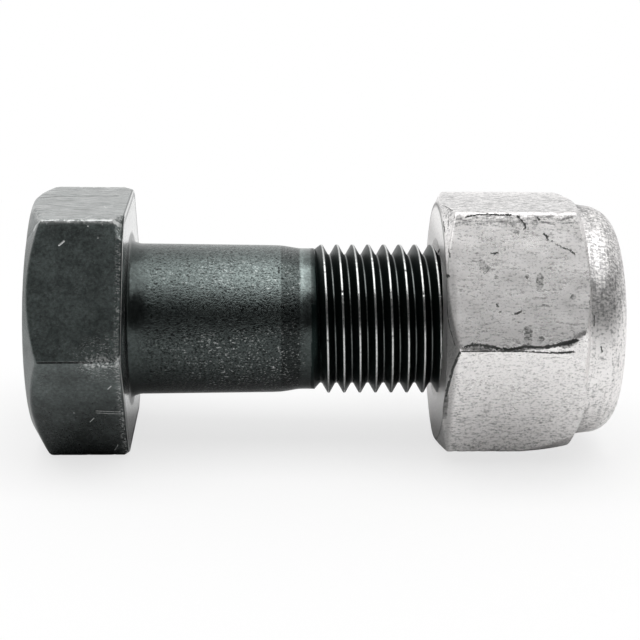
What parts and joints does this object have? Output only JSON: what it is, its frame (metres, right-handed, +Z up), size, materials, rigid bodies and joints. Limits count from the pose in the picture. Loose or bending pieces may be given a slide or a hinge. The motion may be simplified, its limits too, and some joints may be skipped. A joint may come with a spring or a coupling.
{
  "type": "bolt with nut",
  "caption": "Hexagon head bolt with a plain shank and a fine thread, carrying a hexagon locking nut with a rolled collar over a nylon ring.",
  "frame": {"origin": "centre of the head's outer flat face, on the bolt's axis", "axes": "+X along the bolt from the head to the thread, +Z up from the flats that it lies on"},
  "size_m": [0.0457, 0.0218, 0.0198],
  "materials": {
    "black_oxide_steel": "black oxide, worn to bright steel on its edges and crests",
    "zinc_plated_steel": "dull bright zinc with dark pits and scratches",
    "nylon": "satin off-white nylon"
  },
  "bodies": {
    "bolt": {"bolt": "black_oxide_steel"},
    "ring": {"nylon_insert": "nylon"},
    "nut": {"lock_nut": "zinc_plated_steel"}
  },
  "joints": [
    {"name": "nut_travel", "type": "slide", "parent": "bolt", "child": "ring", "axis": [1, 0, 0], "range_m": [-0.00937, 0.01125]},
    {"name": "nut_turn", "type": "hinge", "parent": "ring", "child": "nut", "pos_m": [0.03174, 0, 0], "axis": [1, 0, 0], "range_deg": [-2700, 3240]}
  ],
  "couplings": [
    {"joint": "nut_travel", "follows": "nut_turn", "m_per_rad": 0.00019894}
  ]
}
